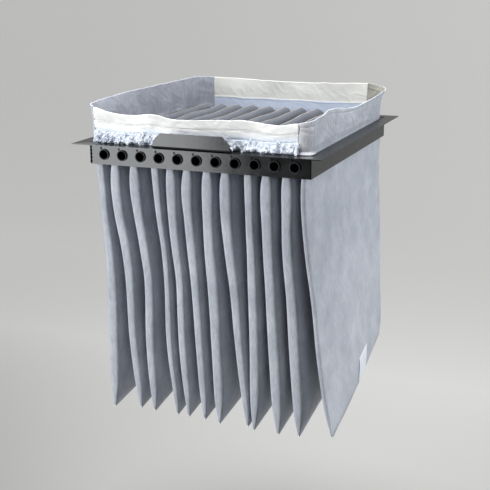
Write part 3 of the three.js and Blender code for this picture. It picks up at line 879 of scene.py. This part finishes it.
# %% The stitch tree
def stitch_tree():
    tree = bpy.data.node_groups.new("stitch_run", "GeometryNodeTree")
    socket(tree, "Geometry", "NodeSocketGeometry")
    socket(tree, "Spacing", "NodeSocketFloat", 4 * MM)
    socket(tree, "Length", "NodeSocketFloat", 3 * MM)
    socket(tree, "Thickness", "NodeSocketFloat", 0.5 * MM)
    socket(tree, "Turn", "NodeSocketFloat", 0.0)
    socket(tree, "Material", "NodeSocketMaterial")
    socket(tree, "Geometry", "NodeSocketGeometry", out=True)
    links = tree.links
    inside = tree.nodes.new("NodeGroupInput")
    outside = tree.nodes.new("NodeGroupOutput")
    curve = tree.nodes.new("GeometryNodeMeshToCurve")
    links.new(inside.outputs["Geometry"], curve.inputs["Mesh"])
    even = tree.nodes.new("GeometryNodeResampleCurve")
    even.mode = "LENGTH"
    links.new(curve.outputs["Curve"], even.inputs["Curve"])
    links.new(inside.outputs["Spacing"], even.inputs["Length"])
    bar = tree.nodes.new("GeometryNodeMeshUVSphere")
    bar.inputs["Segments"].default_value = 6
    bar.inputs["Rings"].default_value = 4
    bar.inputs["Radius"].default_value = 0.5
    size = tree.nodes.new("ShaderNodeCombineXYZ")
    links.new(inside.outputs["Thickness"], size.inputs["X"])
    links.new(inside.outputs["Thickness"], size.inputs["Y"])
    links.new(inside.outputs["Length"], size.inputs["Z"])
    tangent = tree.nodes.new("GeometryNodeInputTangent")
    align = tree.nodes.new("FunctionNodeAlignRotationToVector")
    align.axis = "Z"
    links.new(tangent.outputs["Tangent"], align.inputs["Vector"])
    turn = tree.nodes.new("FunctionNodeRotateRotation")
    turn.rotation_space = "GLOBAL"
    spin = tree.nodes.new("FunctionNodeAxisAngleToRotation")
    spin.inputs["Axis"].default_value = (0, 0, 1)
    links.new(inside.outputs["Turn"], spin.inputs["Angle"])
    links.new(align.outputs["Rotation"], turn.inputs["Rotation"])
    links.new(spin.outputs["Rotation"], turn.inputs["Rotate By"])
    copies = tree.nodes.new("GeometryNodeInstanceOnPoints")
    links.new(even.outputs["Curve"], copies.inputs["Points"])
    links.new(bar.outputs["Mesh"], copies.inputs["Instance"])
    links.new(turn.outputs["Rotation"], copies.inputs["Rotation"])
    links.new(size.outputs["Vector"], copies.inputs["Scale"])
    real = tree.nodes.new("GeometryNodeRealizeInstances")
    links.new(copies.outputs["Instances"], real.inputs["Geometry"])
    paint = tree.nodes.new("GeometryNodeSetMaterial")
    links.new(real.outputs["Geometry"], paint.inputs["Geometry"])
    links.new(inside.outputs["Material"], paint.inputs["Material"])
    links.new(paint.outputs["Geometry"], outside.inputs["Geometry"])
    return tree


stitches = stitch_tree()
print("tree", stitches.name)


# %% Growing on lines and faces
def line_mesh(name, lines):
    verts, edges = [], []
    for line in lines:
        start = len(verts)
        verts += [tuple(p) for p in line]
        edges += [(start + k, start + k + 1) for k in range(len(line) - 1)]
    mesh = bpy.data.meshes.new(name)
    mesh.from_pydata(verts, edges, [])
    return mesh


def grown(name, mesh, tree, **values):
    """Runs a tree on a mesh and gives back its result as a plain mesh object."""
    carrier = placed(name + "_carrier", mesh)
    modifier = carrier.modifiers.new("run", "NODES")
    modifier.node_group = tree
    for item in tree.interface.items_tree:
        if item.item_type == "SOCKET" and item.in_out == "INPUT" and item.name in values:
            modifier[item.identifier] = values[item.name]
    graph = bpy.context.evaluated_depsgraph_get()
    done = bpy.data.meshes.new_from_object(carrier.evaluated_get(graph))
    carrier.modifiers.remove(modifier)
    bpy.data.objects.remove(carrier)
    done.name = name
    for polygon in done.polygons:
        polygon.use_smooth = True
    return placed(name, done)


def ridge_line(number, lift):
    line = []
    for k in range(121):
        y = mix(-mouth_half_y + 8 * MM, mouth_half_y - 8 * MM, k / 120)
        wave_x, wave_z = ridge_wave(number, y)
        line.append(Vector((tube_x[number] + wave_x, y, crest_height(y) + wave_z + FELT + lift)))
    return line


def tip_line(number):
    """A short line along the hem, at the front corner of a pocket."""
    line = []
    for k in range(5):
        y = -POCKET_FRONT + k * 1.5 * MM
        z = hem_level(number, y) + 1.5 * MM
        x = (number - 5.5) * pitch + sway_at(number, 1.0, y)
        line.append(Vector((x, y, z)))
    return line


ridge_lines = [ridge_line(number, 0.2 * MM) for number in range(11)]
ridge_seams = grown(
    "ridge_seams", line_mesh("ridge_lines", ridge_lines), stitches,
    Spacing=3.2 * MM, Length=5.0 * MM, Thickness=1.2 * MM, Turn=1.15, Material=thread)
tip_lines = [tip_line(number) for number in range(12)]
tip_stitches = grown(
    "tip_stitches", line_mesh("tip_lines", tip_lines), stitches,
    Spacing=3 * MM, Length=5 * MM, Thickness=4 * MM, Turn=1.5, Material=white_thread)
print("ridge stitches:", len(ridge_seams.data.polygons), "faces")

# %% [markdown]
# ## Frayed threads
# The torn edge of the canvas sheds loose threads. A tree scatters points over the frill, puts a
# curled thread on each, and gives each its own turn and size from a fixed seed.

# %% The fray tree
def fray_tree():
    tree = bpy.data.node_groups.new("frayed_threads", "GeometryNodeTree")
    socket(tree, "Geometry", "NodeSocketGeometry")
    socket(tree, "Density", "NodeSocketFloat", 20000.0)
    socket(tree, "Length", "NodeSocketFloat", 8 * MM)
    socket(tree, "Slimness", "NodeSocketFloat", 0.05)
    socket(tree, "Seed", "NodeSocketInt", 4)
    socket(tree, "Material", "NodeSocketMaterial")
    socket(tree, "Geometry", "NodeSocketGeometry", out=True)
    links = tree.links
    inside = tree.nodes.new("NodeGroupInput")
    outside = tree.nodes.new("NodeGroupOutput")
    scatter = tree.nodes.new("GeometryNodeDistributePointsOnFaces")
    links.new(inside.outputs["Geometry"], scatter.inputs["Mesh"])
    links.new(inside.outputs["Density"], scatter.inputs["Density"])
    links.new(inside.outputs["Seed"], scatter.inputs["Seed"])
    curl = tree.nodes.new("GeometryNodeCurveSpiral")
    curl.inputs["Resolution"].default_value = 11
    curl.inputs["Rotations"].default_value = 0.8
    curl.inputs["Start Radius"].default_value = 0.5
    curl.inputs["End Radius"].default_value = 0.2
    curl.inputs["Height"].default_value = 0.7
    round_yarn = tree.nodes.new("GeometryNodeCurvePrimitiveCircle")
    round_yarn.inputs["Resolution"].default_value = 4
    links.new(inside.outputs["Slimness"], round_yarn.inputs["Radius"])
    yarn = tree.nodes.new("GeometryNodeCurveToMesh")
    yarn.inputs["Fill Caps"].default_value = True
    links.new(curl.outputs["Curve"], yarn.inputs["Curve"])
    links.new(round_yarn.outputs["Curve"], yarn.inputs["Profile Curve"])
    turn = tree.nodes.new("FunctionNodeRandomValue")
    turn.data_type = "FLOAT_VECTOR"
    turn.inputs[0].default_value = (-math.pi, -math.pi, -math.pi)
    turn.inputs[1].default_value = (math.pi, math.pi, math.pi)
    links.new(inside.outputs["Seed"], turn.inputs["Seed"])
    vary = tree.nodes.new("FunctionNodeRandomValue")
    vary.inputs[2].default_value = 0.4
    vary.inputs[3].default_value = 1.1
    links.new(inside.outputs["Seed"], vary.inputs["Seed"])
    size = add(tree, "ShaderNodeMath", operation="MULTIPLY")
    links.new(inside.outputs["Length"], size.inputs[0])
    links.new(vary.outputs[1], size.inputs[1])
    copies = tree.nodes.new("GeometryNodeInstanceOnPoints")
    links.new(scatter.outputs["Points"], copies.inputs["Points"])
    links.new(yarn.outputs["Mesh"], copies.inputs["Instance"])
    links.new(turn.outputs[0], copies.inputs["Rotation"])
    links.new(size.outputs[0], copies.inputs["Scale"])
    real = tree.nodes.new("GeometryNodeRealizeInstances")
    links.new(copies.outputs["Instances"], real.inputs["Geometry"])
    paint = tree.nodes.new("GeometryNodeSetMaterial")
    links.new(real.outputs["Geometry"], paint.inputs["Geometry"])
    links.new(inside.outputs["Material"], paint.inputs["Material"])
    links.new(paint.outputs["Geometry"], outside.inputs["Geometry"])
    return tree


frays = fray_tree()
loose_threads = grown("loose_threads", frill.data, frays, Density=34000.0, Length=9 * MM,
                      Slimness=0.07, Seed=4, Material=white_thread)
loose_tufts = grown("loose_tufts", frill.data, frays, Density=7000.0, Length=12 * MM,
                    Slimness=0.12, Seed=9, Material=frill_cloth)
print("loose threads:", len(loose_threads.data.polygons), len(loose_tufts.data.polygons), "faces")

# %% [markdown]
# ## Cloth in place
# Every cloth piece rides on the one body and stands for its imported node, which is hidden. A
# pocket is one cut that is folded at the bottom hem.

# %% Ride and replace
for number, piece in enumerate(pocket_pieces):
    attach(piece, "root")
    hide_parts(POCKETS[number])
walls = [
    (left_wall, "collar_left", "felt", (0.74, 0.095)),
    (right_wall, "collar_right", "felt", (0.74, 0.082)),
    (front_wall, "collar_front", "canvas", (0.535, 0.077)),
    (rear_wall, "collar_rear", "canvas", (0.477, 0.093)),
    (frill, "front_frill", "canvas", (0.62, 0.030)),
    (tag, "care_tag", "tag", (0.1, 0.07)),
]
for piece, node, cloth, cut in walls:
    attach(piece, "root")
    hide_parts(node)
for piece in (ridge_seams, tip_stitches, loose_threads, loose_tufts):
    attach(piece, "root")
print("declared", len(pocket_pieces) + len(walls), "sheets")

# %% [markdown]
# ## Light, floor and camera
# The bag hangs in a pale paper cove whose emission is painted light: it glows at the back, as a
# lit backdrop would, and fades almost to nothing towards the front floor. One tall soft lamp stands
# at the front left, and the black paint mirrors it. A weaker one lights the right side, and a third
# hangs above the collar. A narrow spread keeps most of their light on the bag. A fourth lamp lights
# the backdrop alone.

# %% Floor and cove
FLOOR_Z = -1.5


def make_cove():
    profile = [(-6.0, FLOOR_Z)]
    for k in range(17):
        a = k * math.pi / 32
        profile.append((3.5 + 2.0 * math.sin(a), FLOOR_Z + 2.0 - 2.0 * math.cos(a)))
    profile.append((5.5, 7.0))
    mesh = bpy.data.meshes.new("studio_cove")
    verts = [(x, y, z) for y, z in profile for x in (-9.0, 9.0)]
    faces = [(2 * k, 2 * k + 1, 2 * k + 3, 2 * k + 2) for k in range(len(profile) - 1)]
    mesh.from_pydata(verts, [], faces)
    for polygon in mesh.polygons:
        polygon.use_smooth = True
    material, tree, shader = new_finish("cove_paper")
    shader.inputs["Base Color"].default_value = linear(150, 150, 148)
    shader.inputs["Roughness"].default_value = 0.95
    position = tree.nodes.new("ShaderNodeTexCoord")
    split = tree.nodes.new("ShaderNodeSeparateXYZ")
    tree.links.new(position.outputs["Object"], split.inputs["Vector"])
    depth = tree.nodes.new("ShaderNodeMapRange")
    depth.inputs["From Min"].default_value = -0.2
    depth.inputs["From Max"].default_value = 2.0
    tree.links.new(split.outputs["Y"], depth.inputs["Value"])
    # Painted light: the emission colour runs from near black at the front to white at the back,
    # standing in for light on the backdrop.
    glow = add(tree, "ShaderNodeMix", data_type="RGBA")
    glow.inputs[6].default_value = (0.04, 0.04, 0.04, 1)
    glow.inputs[7].default_value = linear(255, 255, 253)
    tree.links.new(depth.outputs["Result"], glow.inputs[0])
    tree.links.new(glow.outputs[2], shader.inputs["Emission Color"])
    shader.inputs["Emission Strength"].default_value = 0.45
    mesh.materials.append(material)
    return placed("studio_cove", mesh)


cove = make_cove()
print("cove made")


# %% Lamps
def lamp(name, place, target, width, height, power, colour=(1, 1, 1), spread=180):
    data = bpy.data.lights.new(name, "AREA")
    data.shape = "RECTANGLE"
    data.size, data.size_y = width, height
    data.energy = power
    data.color = colour
    data.spread = math.radians(spread)
    made = placed(name, data)
    made.location = place
    made.rotation_euler = (Vector(target) - Vector(place)).to_track_quat("-Z", "Y").to_euler()
    return made


cool, cooler = (0.94, 0.97, 1.0), (0.9, 0.95, 1.0)
key = lamp("key_lamp", (-1.68, -2.22, 0.9), (0.1, -0.335, 0.9), 1.8, 4.2, 56, cool, 110)
side = lamp("right_lamp", (2.9, 0.35, 0.1), (0.2, 0, -0.25), 1.4, 2.6, 13.5, cooler, 80)
top = lamp("top_lamp", (0.0, -0.45, 3.0), (0, 0, 0), 1.3, 1.3, 34, (1, 1, 1), 70)
back = lamp("backdrop_lamp", (3.2, 1.4, 3.6), (1.2, 4.6, -1.2), 3.0, 3.0, 60)
world = bpy.data.worlds.new("studio_air")
world.use_nodes = True
world.node_tree.nodes["Background"].inputs["Color"].default_value = (1.0, 0.94, 0.86, 1)
world.node_tree.nodes["Background"].inputs["Strength"].default_value = 0.01
bpy.context.scene.world = world
bpy.context.scene.view_settings.view_transform = "Standard"
print("lamps:", key.name, side.name, top.name, back.name)

# %% [markdown]
# The camera stands where the photograph was taken from. Its place, aim and lens were solved from
# the eleven tube holes and the corners of the frame.

# %% Camera
AZIMUTH, ELEVATION, ROLL = 21.65, 15.22, -0.24
DISTANCE = 2.908
TARGET = Vector((-0.0084, 0.0, -0.324))
LENS_SHARE = 1052.7 / 490


def make_camera():
    data = bpy.data.cameras.new("photo_camera")
    data.sensor_width = 36
    data.lens = 36 * LENS_SHARE
    camera = placed("photo_camera", data)
    a, e = math.radians(AZIMUTH), math.radians(ELEVATION)
    back = Vector((math.sin(a) * math.cos(e), -math.cos(a) * math.cos(e), math.sin(e)))
    camera.location = TARGET + back * DISTANCE
    turn = (-back).to_track_quat("-Z", "Y").to_matrix().to_4x4()
    roll = turn @ Matrix.Rotation(math.radians(ROLL), 4, "Z")
    camera.rotation_euler = roll.to_euler()
    bpy.context.scene.camera = camera
    return camera


camera = make_camera()
print("camera at", [round(c, 3) for c in camera.location])
